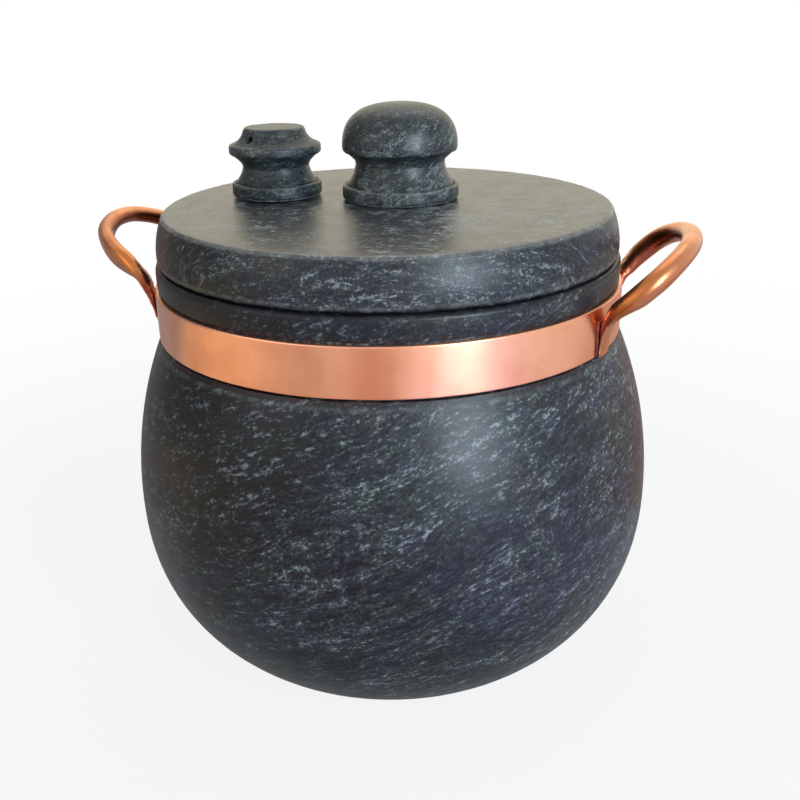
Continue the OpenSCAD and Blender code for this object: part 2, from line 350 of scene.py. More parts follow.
def use(tree, group, **inputs):
    """Places a group. Underscores in an input's name stand for spaces."""
    node = tree.nodes.new("ShaderNodeGroup")
    node.node_tree = group
    for key, value in inputs.items():
        socket = node.inputs[key.replace("_", " ")]
        if isinstance(value, bpy.types.NodeSocket):
            tree.links.new(value, socket)
        else:
            socket.default_value = value
    return node.outputs


FLOAT = "NodeSocketFloat"
VECTOR = "NodeSocketVector"
COLOUR = "NodeSocketColor"


# Light and floor

MIDDLE_OF_POT = Vector((0, 0, 0.12))


def towards(azimuth, height, distance):
    """A point round the cooker, azimuth 0 on the camera's side and growing to its right."""
    a = math.radians(azimuth + TURN - 90)
    return Vector((distance * math.cos(a), distance * math.sin(a), height))


def aimed(thing, place, target):
    thing.location = place
    thing.rotation_euler = (place - target).to_track_quat("Z", "Y").to_euler()


def lamp(name, azimuth, height, distance, size, watts, colour):
    data = bpy.data.lights.new(name, "AREA")
    data.shape = "RECTANGLE"
    data.size, data.size_y = size
    data.energy = watts
    data.color = colour
    light = bpy.data.objects.new(name, data)
    bpy.context.scene.collection.objects.link(light)
    aimed(light, towards(azimuth, height, distance), MIDDLE_OF_POT)
    light.visible_camera = False


lamp("window", 33, 0.46, 1.2, (0.36, 0.66), 20, (0.80, 0.92, 1.0))
lamp("room", -55, 0.8, 1.5, (0.9, 0.9), 4, (1.0, 0.92, 0.80))
lamp("sky", 170, 1.6, 0.9, (1.2, 1.2), 7, (1.0, 0.97, 0.90))


def card(name, azimuth, height, distance, size, colour, target=MIDDLE_OF_POT):
    """A studio card that only reflections show, as wide and tall as its size says."""
    deselect()
    bpy.ops.mesh.primitive_plane_add(size=1)
    board = bpy.context.object
    board.name = name
    board.scale = (*size, 1)
    aimed(board, towards(azimuth, height, distance), target)
    board.visible_camera = False
    board.visible_diffuse = False
    board.visible_shadow = False
    material = bpy.data.materials.new(name)
    material.use_nodes = True
    tree = material.node_tree
    tree.nodes.clear()
    glow = add(tree, "ShaderNodeEmission", {"Color": (*colour, 1), "Strength": 1.0})
    add(tree, "ShaderNodeOutputMaterial", {"Surface": glow.outputs[0]})
    board.data.materials.append(material)


def lying_card(name, azimuth, distance, size, colour, lift=0.001):
    """A card that lies on the floor, its longer way leading away from the cooker."""
    place = towards(azimuth, lift, distance)
    card(name, azimuth, lift, distance, size, colour, place - Vector((0, 0, 1)))
    bpy.context.object.rotation_euler = (0, 0, math.radians(azimuth + TURN))


card("warm_wall", 180, 0.75, 1.5, (3.6, 1.5), (1.36, 1.27, 0.98))
card("dull_wall", -118, 0.55, 1.35, (1.9, 1.10), (0.34, 0.33, 0.33))
card("window_glow", 40, 0.62, 1.25, (0.70, 0.70), (0.90, 1.40, 2.00))
lying_card("bright_table", 36, 0.62, (0.36, 0.9), (0.92, 0.82, 1.38))
lying_card("warm_table", -43, 0.60, (0.36, 0.8), (0.58, 0.47, 0.38))
lying_card("amber_table", -79, 0.88, (0.50, 1.04), (1.00, 0.78, 0.48), 0.003)
lying_card("red_table", -7, 0.60, (0.18, 0.8), (0.56, 0.29, 0.20))
lying_card("dull_table_left", -138, 1.30, (1.70, 2.2), (0.36, 0.345, 0.365))
lying_card("dull_table_right", 134, 0.90, (0.65, 1.4), (0.60, 0.42, 0.34))


def flat_material(name, colour):
    material = bpy.data.materials.new(name)
    material.use_nodes = True
    shader = material.node_tree.nodes["Principled BSDF"]
    shader.inputs["Base Color"].default_value = (*colour, 1)
    shader.inputs["Roughness"].default_value = 1
    shader.inputs["Specular IOR Level"].default_value = 0
    return material


def seen_white(tree, share, mirrored):
    """Factor that is share where the camera looks, mirrored where a reflection does, and else 0."""
    path = add(tree, "ShaderNodeLightPath").outputs
    mirror = maths(tree, "MAXIMUM", path["Is Glossy Ray"], path["Is Transmission Ray"])
    return maths(tree, "MAXIMUM", times(tree, path["Is Camera Ray"], share),
                 times(tree, mirror, mirrored))


def world():
    sky = bpy.data.worlds.new("studio")
    bpy.context.scene.world = sky
    sky.use_nodes = True
    tree = sky.node_tree
    tree.nodes.clear()
    ambient = add(tree, "ShaderNodeBackground", {"Color": (0.96, 0.98, 1.0, 1), "Strength": 0.5})
    white = add(tree, "ShaderNodeBackground", {"Color": (1, 1, 1, 1), "Strength": 1.0})
    mix = add(tree, "ShaderNodeMixShader",
              {0: seen_white(tree, 1.0, 1.0), 1: ambient.outputs[0], 2: white.outputs[0]})
    add(tree, "ShaderNodeOutputWorld", {"Surface": mix.outputs[0]})


world()


def floor():
    """Pale floor that keeps the cooker's shadow, with its colour painted darker near the cooker as a
    painted contact shadow, and goes over to white further out.
    """
    deselect()
    bpy.ops.mesh.primitive_plane_add(size=12, location=(0, 0, -0.0002))
    ground = bpy.context.object
    ground.name = "floor"
    material = flat_material("pale_floor", (0.80, 0.80, 0.80))
    tree = material.node_tree
    place = add(tree, "ShaderNodeTexCoord").outputs["Object"]
    away = add(tree, "ShaderNodeVectorMath", {0: place}, operation="LENGTH").outputs["Value"]
    share = ramp(tree, away, 0.20, 0.8, 0.86, 1.0)
    mirrored = ramp(tree, away, 0.15, 0.9, 0.15, 1.0)
    glow = add(tree, "ShaderNodeEmission", {"Color": (1, 1, 1, 1), "Strength": 1.0})
    shader = tree.nodes["Principled BSDF"]
    # Painted contact shadow: the floor's colour is darker near the cooker.
    tree.links.new(ramp(tree, away, 0.15, 0.6, 0.45, 0.80), shader.inputs["Base Color"])
    mix = add(tree, "ShaderNodeMixShader",
              {0: seen_white(tree, share, mirrored), 1: shader.outputs[0], 2: glow.outputs[0]})
    tree.links.new(mix.outputs[0], tree.nodes["Material Output"].inputs["Surface"])
    ground.data.materials.append(material)


floor()


# Stone

def talc_stone():
    """Soapstone in millimetres: its layers lie flat in the vector that it is given."""
    group, given, result = new_group(
        "talc_stone",
        [("Vector", VECTOR, None), ("Density", FLOAT, 0.0), ("Contrast", FLOAT, 1.0)],
        [("Body", FLOAT), ("Pale", FLOAT), ("Tint", FLOAT), ("Rust", FLOAT), ("Grit", FLOAT)])
    place = given["Vector"]
    wander = add(group, "ShaderNodeTexNoise", {"Vector": place, "Scale": 0.022, "Detail": 2.0})
    bent = add(group, "ShaderNodeVectorMath",
               {0: wander.outputs["Color"], 1: (11.0, 11.0, 11.0), 2: place},
               operation="MULTIPLY_ADD").outputs[0]
    fibres = grain(group, stretched(group, bent, (0.25, 0.27, 1.0)), 1.0, 2.0, 0.6)
    grains = grain(group, stretched(group, bent, (0.62, 0.65, 0.85)), 1.0, 2.0, 0.6)
    clumps = grain(group, stretched(group, bent, (0.13, 0.14, 0.42)), 1.0, 2.0, 0.5)
    bands = grain(group, stretched(group, bent, (0.045, 0.05, 0.21)), 1.0, 2.0, 0.5)
    zones = grain(group, stretched(group, bent, (0.014, 0.016, 0.042)), 1.0, 2.0, 0.5)
    dust = grain(group, place, 1.5, 1.0, 0.5)
    level = maths(group, "ADD", given["Density"], -1.72)
    for part, weight in ((fibres, 0.75), (grains, 0.85), (clumps, 0.65), (bands, 0.5),
                         (zones, 0.3), (dust, 0.4)):
        level = maths(group, "ADD", level, times(group, part, weight))
    body = ramp(group, level, -0.25, 0.12)
    pale = times(group, ramp(group, level, 0.07, 0.46), given["Contrast"])
    streaks = grain(group, stretched(group, bent, (0.15, 0.16, 1.3)), 1.0, 1.0, 0.5)
    dash = times(group, ramp(group, streaks, 0.70, 0.84), ramp(group, bands, 0.42, 0.6),
                 ramp(group, dust, 0.3, 0.6, 0.3, 1.0))
    pale = maths(group, "ADD", pale, dash, clamp=True)
    tint = grain(group, place, 0.075, 3.0, 0.6)
    rust = grain(group, place, 0.05, 2.0, 0.5)
    for name, value in (("Body", body), ("Pale", pale), ("Tint", tint), ("Rust", rust),
                        ("Grit", dust)):
        group.links.new(value, result[name])
    return group


def turning_marks():
    """Fine rings that a turning tool leaves round a vertical axis, in millimetres."""
    group, given, result = new_group(
        "turning_marks", [("Vector", VECTOR, None), ("Spacing", FLOAT, 1.0)],
        [("Rings", FLOAT)])
    parts = add(group, "ShaderNodeSeparateXYZ", {0: given["Vector"]}).outputs
    away = maths(group, "SQRT", maths(group, "ADD", times(group, parts[0], parts[0]),
                                      times(group, parts[1], parts[1])))
    around = maths(group, "ARCTAN2", parts[1], parts[0])
    where = add(group, "ShaderNodeCombineXYZ",
                {0: maths(group, "DIVIDE", away, given["Spacing"]),
                 1: maths(group, "DIVIDE", parts[2], given["Spacing"]),
                 2: maths(group, "MULTIPLY", maths(group, "SINE", around), 0.8)}).outputs[0]
    group.links.new(grain(group, where, 1.0, 3.0, 0.7), result["Rings"])
    return group


def near_ring():
    """Mask of what lies close to a ring round a vertical axis: worn edges, painted highlights on edges,
    and painted shade in grooves and seams.
    """
    group, given, result = new_group(
        "near_ring", [("Vector", VECTOR, None), ("Radius", FLOAT, 1.0), ("Height", FLOAT, 0.0),
                      ("Reach", FLOAT, 1.0)], [("Mask", FLOAT)])
    parts = add(group, "ShaderNodeSeparateXYZ", {0: given["Vector"]}).outputs
    away = maths(group, "SQRT", maths(group, "ADD", times(group, parts[0], parts[0]),
                                      times(group, parts[1], parts[1])))
    out = maths(group, "SUBTRACT", away, given["Radius"])
    up = maths(group, "SUBTRACT", parts[2], given["Height"])
    gap = maths(group, "SQRT", maths(group, "ADD", times(group, out, out), times(group, up, up)))
    group.links.new(ramp(group, maths(group, "DIVIDE", gap, given["Reach"]), 1.0, 0.2),
                    result["Mask"])
    return group


TALC_STONE = talc_stone()
TURNING_MARKS = turning_marks()
NEAR_RING = near_ring()


def layer_turn(rise, about, lean=0):
    """Rotation that lays the stone's layers flat: they rise to the right, seen from about."""
    flat = (Matrix.Rotation(math.radians(lean), 3, "X")
            @ Matrix.Rotation(math.radians(rise), 3, "Y")
            @ Matrix.Rotation(math.radians(-about), 3, "Z"))
    return flat.to_euler()


def in_millimetres(tree):
    place = add(tree, "ShaderNodeTexCoord").outputs["Object"]
    return add(tree, "ShaderNodeMapping", {"Vector": place, "Scale": (1000, 1000, 1000)}).outputs[0]


DARK = (0.0060, 0.0068, 0.0095, 1)
NAVY = (0.0195, 0.0225, 0.0325, 1)
GREEN_CAST = (0.0185, 0.0240, 0.0255, 1)
OLIVE_CAST = (0.0265, 0.0260, 0.0225, 1)
PALE = (0.155, 0.190, 0.195, 1)
PALE_LILAC = (0.165, 0.175, 0.200, 1)
# Pale edge colours: partly wear and partly painted highlight on edges that catch the light.
WEAR_AND_HIGHLIGHT = (0.115, 0.120, 0.115, 1)
SCUFF_AND_HIGHLIGHT = (0.27, 0.28, 0.26, 1)
# Painted shade for seams, V cuts and under the knob's cap; the band's gaps get a reddish painted shade
# that is also a painted reflection of the copper.
CREVICE_SHADE = (0.004, 0.004, 0.0045, 1)
BAND_GAP_SHADE = (0.024, 0.008, 0.006, 1)


def soapstone(name, layers, shift, at=(0, 0), edges=(), density=0.0, contrast=1.0,
              spread=(1, 1, 1), marks=0.3, gloss=0.21, rough=(0.34, 0.46), patches=()):
    """Waxed soapstone. Edges are rings: radius, height, reach, share and colour; pale ones are partly
    wear and partly painted highlight, dark ones painted shade. Patches multiply the stone's colour
    round a middle: middle, reach, share and colour; they paint shade on the pot and the lid, and tint
    the knobs."""
    material = bpy.data.materials.new(name)
    material.use_nodes = True
    tree = material.node_tree
    shader = tree.nodes["Principled BSDF"]
    place = in_millimetres(tree)
    layered = add(tree, "ShaderNodeMapping",
                  {"Vector": place, "Location": shift, "Rotation": layer_turn(*layers)}).outputs[0]
    stone = use(tree, TALC_STONE, Vector=stretched(tree, layered, spread), Density=density,
                Contrast=contrast)
    centred = add(tree, "ShaderNodeMapping",
                  {"Vector": place, "Location": (-at[0], -at[1], 0)}).outputs[0]
    rings = use(tree, TURNING_MARKS, Vector=centred, Spacing=0.8)["Rings"]
    middle = blend(tree, ramp(tree, stone["Tint"], 0.42, 0.62), NAVY, GREEN_CAST)
    middle = blend(tree, ramp(tree, stone["Rust"], 0.50, 0.68, 0.0, 0.7), middle, OLIVE_CAST)
    base = blend(tree, stone["Body"], DARK, middle)
    light = blend(tree, ramp(tree, stone["Tint"], 0.40, 0.60), PALE_LILAC, PALE)
    for middle, reach, share, hue in patches:
        away = add(tree, "ShaderNodeVectorMath", {0: place, 1: middle}, operation="DISTANCE")
        near = ramp(tree, away.outputs["Value"], reach, reach * 0.3)
        base = blend(tree, times(tree, near, share), base, hue, "MULTIPLY")
        light = blend(tree, times(tree, near, share * 0.25), light, hue, "MULTIPLY")
    colour = blend(tree, stone["Pale"], base, light)
    for radius, height, reach, share, hue in edges:
        ring = use(tree, NEAR_RING, Vector=centred, Radius=radius, Height=height, Reach=reach)
        patchy = ramp(tree, grain(tree, place, 0.3, 3.0, 0.6), 0.4, 0.62, 0.25, 1.0)
        colour = blend(tree, times(tree, ring["Mask"], patchy, share), colour, hue)
    tree.links.new(colour, shader.inputs["Base Color"])
    height = maths(tree, "ADD", times(tree, rings, marks), times(tree, stone["Grit"], 0.3))
    height = maths(tree, "ADD", height, times(tree, stone["Body"], 0.15))
    bump = add(tree, "ShaderNodeBump", {"Height": height, "Strength": 0.2, "Distance": 0.0004})
    tree.links.new(bump.outputs[0], shader.inputs["Normal"])
    uneven = maths(tree, "ADD", times(tree, stone["Pale"], 0.6), times(tree, rings, 0.5))
    uneven = maths(tree, "ADD", uneven, times(tree, stone["Tint"], 0.5))
    tree.links.new(ramp(tree, uneven, 0.25, 1.0, *rough), shader.inputs["Roughness"])
    shader.inputs["Specular IOR Level"].default_value = gloss
    return material


# Patches, in millimetres: painted shade on the left side, under the band on the left and towards the
# bottom; and tints for the knobs
OLIVE_DARKENING = (0.50, 0.48, 0.38, 1)
PAINTED_SHADE_TONE = (0.32, 0.34, 0.36, 1)
GREENISH = (1.14, 1.25, 1.13, 1)
LEFT_SIDE_SHADE = (((-95, -50, 190), 80, 0.9, OLIVE_DARKENING),)
LID_LEFT_SHADE = (((-95, -50, 190), 110, 1.0, (0.46, 0.42, 0.26, 1)),)
SHOULDER_SHADE = (((-50, -95, 150), 84, 1.0, PAINTED_SHADE_TONE),)
UNDERSIDE_SHADE = (((10, -60, -10), 100, 0.8, PAINTED_SHADE_TONE),)


# Metal

INNER_SIDE = "inner_side"
INNER_SHADE = (0.24, 0.060, 0.034, 1)
HEATED = (0.74, 0.60, 0.34, 1)


def copper(name, colour, tarnish, rough, brushed=0.0, brushing=0.1, stains=0.5, inner=False):
    material = bpy.data.materials.new(name)
    material.use_nodes = True
    tree = material.node_tree
    shader = tree.nodes["Principled BSDF"]
    place = in_millimetres(tree)
    stain = grain(tree, place, 0.045, 3.0, 0.55)
    fine = grain(tree, place, 1.1, 3.0, 0.6)
    brush = grain(tree, stretched(tree, place, (0.04, 0.04, 2.6)), 1.0, 3.0, 0.7)
    base = blend(tree, ramp(tree, stain, 0.40, 0.70, 0.0, stains), (*colour, 1), (*tarnish, 1))
    base = blend(tree, ramp(tree, fine, 0.66, 0.80, 0.0, 0.3), base, (*tarnish, 1))
    base = blend(tree, ramp(tree, brush, 0.40, 0.75, 0.0, 0.16), base, (*tarnish, 1))
    smear = grain(tree, stretched(tree, place, (0.09, 0.09, 0.05)), 1.0, 2.0, 0.5)
    base = blend(tree, ramp(tree, smear, 0.45, 0.70, 0.0, stains * 0.5), base, (*tarnish, 1))
    if inner:
        parts = add(tree, "ShaderNodeSeparateXYZ", {0: place}).outputs
        away = maths(tree, "SQRT", maths(tree, "ADD", times(tree, parts[0], parts[0]),
                                         times(tree, parts[1], parts[1])))
        heated = times(tree, ramp(tree, away, band_r + 28, band_r + 12),
                       ramp(tree, away, band_r + 2, band_r + 9))
        base = blend(tree, heated, base, HEATED, "MULTIPLY")
        # Painted shade: the loop's inner side and the flattened ends' edges go dark reddish brown.
        painted_shade = add(tree, "ShaderNodeAttribute", attribute_name=INNER_SIDE).outputs["Fac"]
        base = blend(tree, times(tree, painted_shade, 0.85), base, INNER_SHADE)
    tree.links.new(base, shader.inputs["Base Color"])
    shader.inputs["Metallic"].default_value = 1
    shader.inputs["Anisotropic"].default_value = brushed
    shader.inputs["Anisotropic Rotation"].default_value = 0.25
    spread = maths(tree, "ADD", times(tree, brush, brushing), rough - brushing / 2)
    spread = maths(tree, "ADD", spread, ramp(tree, stain, 0.45, 0.75, 0.0, 0.06))
    tree.links.new(spread, shader.inputs["Roughness"])
    bump = add(tree, "ShaderNodeBump",
               {"Height": maths(tree, "ADD", brush, times(tree, fine, 0.6)),
                "Strength": 0.07, "Distance": 0.0002})
    tree.links.new(bump.outputs[0], shader.inputs["Normal"])
    return material


BAND_COPPER = copper("band_copper", (0.87, 0.43, 0.27), (0.60, 0.22, 0.11), 0.30, 0.6, 0.12, 0.35)
TUBE_COPPER = copper("tube_copper", (0.68, 0.30, 0.16), (0.40, 0.13, 0.055), 0.30, 0.0, 0.08, 0.6, True)
# Braze coloured very dark: painted shade along the tabs' edges.
BRAZE_SHADED = copper("braze_shade_dark", (0.20, 0.06, 0.045), (0.08, 0.025, 0.02), 0.5, 0.0, 0.1, 0.8)


def brass(name):
    material = bpy.data.materials.new(name)
    material.use_nodes = True
    tree = material.node_tree
    shader = tree.nodes["Principled BSDF"]
    place = in_millimetres(tree)
    stain = grain(tree, place, 0.25, 4.0, 0.65)
    lathe = grain(tree, stretched(tree, place, (0.1, 0.1, 3.0)), 1.0, 2.0)
    base = blend(tree, ramp(tree, stain, 0.4, 0.75), (0.68, 0.50, 0.24, 1), (0.40, 0.27, 0.12, 1))
    tree.links.new(base, shader.inputs["Base Color"])
    shader.inputs["Metallic"].default_value = 1
    tree.links.new(maths(tree, "ADD", times(tree, lathe, 0.16),
                         ramp(tree, stain, 0.4, 0.8, 0.18, 0.32)), shader.inputs["Roughness"])
    bump = add(tree, "ShaderNodeBump", {"Height": lathe, "Strength": 0.1, "Distance": 0.0001})
    tree.links.new(bump.outputs[0], shader.inputs["Normal"])
    return material


BRASS = brass("brass")


def place_piece(piece, body, slot, material, *nodes):
    """Gives a finished piece its material, hangs it on its body and hides the frame's parts that it
    replaces.
    """
    piece.data.materials.clear()
    piece.data.materials.append(material)
    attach(piece, body)
    if nodes:
        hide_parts(*nodes)


# Pot

def upper_side(z):
    rise = z - BELLY_Z
    return belly_r - side_curve_r + math.sqrt(side_curve_r ** 2 - rise ** 2)


def bowl(low_r, low_z, high_r, high_z, steps=30):
    """The curve from a flat bottom out to the widest place."""
    shares = [math.cos(math.pi / 2 * i / steps) for i in range(steps + 1)]
    return [(low_r + (high_r - low_r) * (1 - share ** BELLY_FULL) ** (1 / BELLY_TURN),
             high_z - (high_z - low_z) * share) for share in shares]


def side(start, end, inset, steps=22):
    heights = [start + (end - start) * i / steps for i in range(1, steps + 1)]
    return [(upper_side(z) - inset, z) for z in heights]


def pot():
    reach = MOUTH_R + WALL - belly_r + side_curve_r
    mouth_low = BELLY_Z + math.sqrt(side_curve_r ** 2 - reach ** 2)
    rim_low = rim_z - RIM_ROUND
    shoulder_z = band_low - GROOVE_GAP - ARRIS
    shoulder_r = upper_side(shoulder_z)
    neck_low = band_top + GROOVE_GAP + ARRIS
    outer = [(0, 0), *line((0, 0), (BASE_R - 1.5, 0), 6)]
    outer += bowl(BASE_R, 0, belly_r, BELLY_Z)[1:]
    outer += side(BELLY_Z, shoulder_z, 0)[:-1]
    outer += arc((shoulder_r - ARRIS, shoulder_z), ARRIS, 0, 90, 3)
    outer += [(GROOVE_R, band_low - GROOVE_GAP), (GROOVE_R, band_top + GROOVE_GAP)]
    outer += arc((NECK_R - ARRIS, neck_low), ARRIS, -90, 0, 3)
    outer += line((NECK_R, neck_low), (NECK_R, rim_low), 4)[:-1]
    outer += arc((NECK_R - RIM_ROUND, rim_low), RIM_ROUND, 0, 90)
    inner = arc((MOUTH_R + RIM_ROUND, rim_low), RIM_ROUND, 90, 180)
    inner += line((MOUTH_R, rim_low), (MOUTH_R, mouth_low), 6)
    inner += side(mouth_low, BELLY_Z, WALL)
    inner += bowl(BASE_R - WALL, FLOOR, belly_r - WALL, BELLY_Z)[-2::-1]
    inner += [*line((BASE_R - WALL, FLOOR), (0, FLOOR), 6)]
    piece = turned("pot_stone", outer + inner, sides=FINE)
    dents(piece, 0.16, 30)
    knock_edges(piece, [(NECK_R, neck_low), (NECK_R, rim_z), (MOUTH_R, rim_z),
                        (shoulder_r, shoulder_z)], 3.5, 0.4, 4)
    smooth(piece)
    # Edge rings: painted shade in the seam under the lid, on the recessed neck and in the gaps above and
    # below the band, these last reddish as a painted reflection of the copper; pale rings are partly
    # wear and partly painted highlight. The patches paint shade on the left side, under the band on the
    # left and towards the bottom.
    stone = soapstone("pot_soapstone", (22, TURN), (0, 0, 0),
                      edges=((NECK_R - 1.2, rim_z, 2.4, 1.0, CREVICE_SHADE), (MOUTH_R, rim_z, 3.0, 0.5, WEAR_AND_HIGHLIGHT),
                             (NECK_R, neck_low, 1.4, 0.9, BAND_GAP_SHADE),
                             (shoulder_r, shoulder_z, 1.2, 0.8, BAND_GAP_SHADE),
                             (shoulder_r + 0.5, shoulder_z - 2.5, 1.6, 0.35, WEAR_AND_HIGHLIGHT),
                             (NECK_R, (neck_low + rim_z) / 2, 9.0, 0.8, DARK),
                             (BASE_R, 0, 5.0, 0.4, WEAR_AND_HIGHLIGHT)),
                      patches=LEFT_SIDE_SHADE + SHOULDER_SHADE + UNDERSIDE_SHADE)
    place_piece(piece, "pot", "soapstone_pot", stone, "pot_body")


pot()


# Band

BAND_ROUND = 0.7
LAP_LENGTH = 26
LAP_SINK = 0.25
LAP_AZIMUTH = 90
RIVET_HEAD_R = 3.2


def strip_section(inside, outside, bottom, top, edge):
    """A strip's section with rounded outer edges, as a closed outline."""
    return [(inside, bottom), (outside - edge, bottom),
            *arc((outside - edge, bottom + edge), edge, -90, 0)[1:],
            *line((outside, bottom + edge), (outside, top - edge), 10)[:-1],
            *arc((outside - edge, top - edge), edge, 0, 90),
            (inside, top), (inside, bottom)]


def band():
    """The strip shrunk round the neck, and its outer end lapped over at the back."""
    strip = turned("band_strip", strip_section(GROOVE_R, band_r, band_low, band_top, BAND_ROUND),
                   sides=FINE)
    dents(strip, 0.16, 16)
    degrees = math.degrees(LAP_LENGTH / band_r)
    inset = (high("copper_band").z - low("copper_band").z) * 0.02
    lap = turned("band_lap", strip_section(band_r - LAP_SINK, lap_r, band_low + inset,
                                           band_top - inset, BAND_ROUND / 2),
                 sides=48, degrees=degrees)
    lap.rotation_euler.z = math.radians(LAP_AZIMUTH - degrees / 2)
    settle(lap)
    modify(lap, "BEVEL", width=0.5 * MM, segments=3, limit_method="ANGLE",
           angle_limit=math.radians(60))
    dents(lap, 0.2, 5)
    strip = join("band_strip", strip, lap)
    smooth(strip, 50)
    place_piece(strip, "pot", "copper_strip", BAND_COPPER, "copper_band")


def rivets():
    """Two hammered rivet heads on the lap."""
    head_h = RIVET_HEAD_R / 2
    curve_r = (RIVET_HEAD_R ** 2 + head_h ** 2) / (2 * head_h)
    spread = math.degrees(math.asin(RIVET_HEAD_R / curve_r))
    quarter = math.degrees(LAP_LENGTH / band_r) / 4
    heads = []
    for turn in (-quarter, quarter):
        outline = [(0, -0.4), (RIVET_HEAD_R - 0.25, -0.4), (RIVET_HEAD_R - 0.05, 0)]
        outline += arc((0, head_h - curve_r), curve_r, 90 - spread, 90, 12)
        head = turned("rivet_head", outline, sides=48)
        dents(head, 0.3, 1.6)
        head.rotation_euler = (0, math.radians(90), math.radians(LAP_AZIMUTH + turn))
        around = math.radians(LAP_AZIMUTH + turn)
        head.location = Vector((lap_r * math.cos(around), lap_r * math.sin(around), band_mid)) * MM
        settle(head)
        heads.append(head)
    piece = join("rivet_heads", *heads)
    smooth(piece, 50)
    place_piece(piece, "pot", "copper_strip", BAND_COPPER, "band_rivets")


band()
rivets()


# Handles

TUBE_SIDES = 32
BRAZE_SINK = 0.25
BRAZE_R = 0.8

# A leg's rows, from its foot to the loop's middle: share of the foot's angle, gap to the band,
# height over the band's middle, width and thickness
RIGHT_FRONT = [(1, -BRAZE_SINK, -10.9, 10.4, 1.9), (1, -BRAZE_SINK, -3.5, 10.4, 2.6),
               (1.01, 0.4, 3.4, 10.8, 4.6), (1.03, 2.8, 9.0, 11.0, 6.8), (1.01, 9.2, 14.8, 10.6, 8.2),
               (0.89, 15.8, 22.0, 9.6, 8.6), (0.615, 20.0, 27.6, 8.8, 8.6),
               (0.295, 21.9, 29.9, 8.6, 8.6), (0, 22.3, 30.4, 8.6, 8.6)]
RIGHT_BACK = [*RIGHT_FRONT[:2], (1.01, 0.4, 3.6, 10.6, 4.6), (1.03, 2.8, 8.8, 10.4, 6.8),
              (1.01, 8.2, 15.6, 10.0, 8.0), (0.89, 14.8, 22.8, 9.2, 8.4), (0.615, 19.6, 27.8, 8.6, 8.6),
              *RIGHT_FRONT[-2:]]
LEFT_FRONT = [(1, -BRAZE_SINK, -5.2, 9.0, 1.9), (1, 0.4, 0.4, 9.8, 2.6), (0.995, 1.0, 6.8, 11.4, 4.4),
              (0.975, 2.6, 12.6, 12.8, 6.0), (0.90, 8.0, 17.6, 12.8, 6.8), (0.74, 15.4, 22.0, 11.8, 7.0),
              (0.49, 22.0, 26.5, 9.8, 7.0), (0.23, 24.2, 29.6, 8.2, 7.2), (0, 24.4, 30.6, 7.6, 7.3)]
LEFT_BACK = [*LEFT_FRONT[:2], (0.995, 1.3, 7.0, 10.0, 4.0), (0.975, 3.4, 12.0, 9.4, 5.6),
             (0.91, 8.4, 15.6, 8.4, 7.0), (0.76, 14.8, 20.6, 7.8, 7.4), (0.515, 20.8, 26.0, 7.5, 7.4),
             (0.24, 23.6, 29.6, 7.5, 7.4), LEFT_FRONT[-1]]


def loop_path(front, back, foot_angle, side):
    """The bent tube's path from one foot to the other: place, width and thickness."""
    legs = []
    for turn, rows in ((-foot_angle, front), (foot_angle, back)):
        leg = []
        for share, gap, height, width, thick in rows:
            around = math.radians(share * turn)
            out = band_r + gap + thick / 2
            leg.append((side * out * math.cos(around), out * math.sin(around), band_mid + height,
                        width, thick))
        legs.append(leg)
    return through(legs[0] + legs[1][-2::-1], 8)


def flattened(share, bend):
    """Sine or cosine of a section that goes from a circle over to a bar with round edges."""
    return math.copysign(abs(share) ** bend, share)


def rolled_tube(name, path):
    """A sheet rolled along a path into a closed tube, wider than thick where it is flattened."""
    deselect()
    last = len(path) - 1
    bpy.ops.mesh.primitive_grid_add(x_subdivisions=TUBE_SIDES, y_subdivisions=last, size=1)
    piece = bpy.context.object
    piece.name = name
    for vertex in piece.data.vertices:
        i = round((vertex.co.y + 0.5) * last)
        around = 2 * math.pi * (vertex.co.x + 0.5)
        *here, width, thick = path[i]
        here = Vector(here)
        along = Vector(path[min(i + 1, last)][:3]) - Vector(path[max(i - 1, 0)][:3])
        across = along.cross(Vector((here.x, here.y, 0))).normalized()
        out = across.cross(along).normalized()
        bend = 1 / (2 - thick / width)
        vertex.co = (here + across * flattened(math.cos(around), bend) * width / 2
                     + out * flattened(math.sin(around), bend) * thick / 2) * MM
    bpy.ops.object.mode_set(mode="EDIT")
    bpy.ops.mesh.select_all(action="SELECT")
    bpy.ops.mesh.remove_doubles(threshold=0.004 * MM)
    bpy.ops.mesh.fill_holes(sides=0)
    bpy.ops.mesh.select_all(action="SELECT")
    bpy.ops.mesh.normals_make_consistent(inside=False)
    settle(piece)
    return piece


def mark_inner_side(piece, middle):
    """Stores how far the tube's surface faces its loop's middle, or is a flattened end's edge: the mask
    of the tube's painted shade.
    """
    marks = piece.data.attributes.new(INNER_SIDE, "FLOAT", "POINT")
    for vertex, mark in zip(piece.data.vertices, marks.data):
        inwards = vertex.normal.dot((middle * MM - vertex.co).normalized())
        outwards = Vector((vertex.co.x, vertex.co.y, 0))
        near_band = min(max(9 - (outwards.length / MM - band_r), 0) / 4, 1)
        sideways = abs(vertex.normal.dot(outwards.normalized().cross(Vector((0, 0, 1)))))
        share = max((inwards - 0.3) / 0.4, near_band * (sideways - 0.75) / 0.2)
        mark.value = min(max(share, 0), 1)


def handle(name, front, back, foot_angle, side, node):
    """A hand-bent tube loop with hammer marks on its flattened ends."""
    piece = rolled_tube(name, loop_path(front, back, foot_angle, side))
    modify(piece, "SUBSURF", levels=1, render_levels=1)
    weigh(piece, "tabs", lambda place: (band_r + 8 - math.hypot(place.x, place.y)) / 4)
    dents(piece, 0.6, 2.4, "tabs")
    piece.vertex_groups.clear()
    dents(piece, 0.2, 9)
    smooth(piece, 60)
    mark_inner_side(piece, Vector((side * (band_r + 8), 0, high(node).z - 12)))
    place_piece(piece, "pot", "copper_tube", TUBE_COPPER, node)


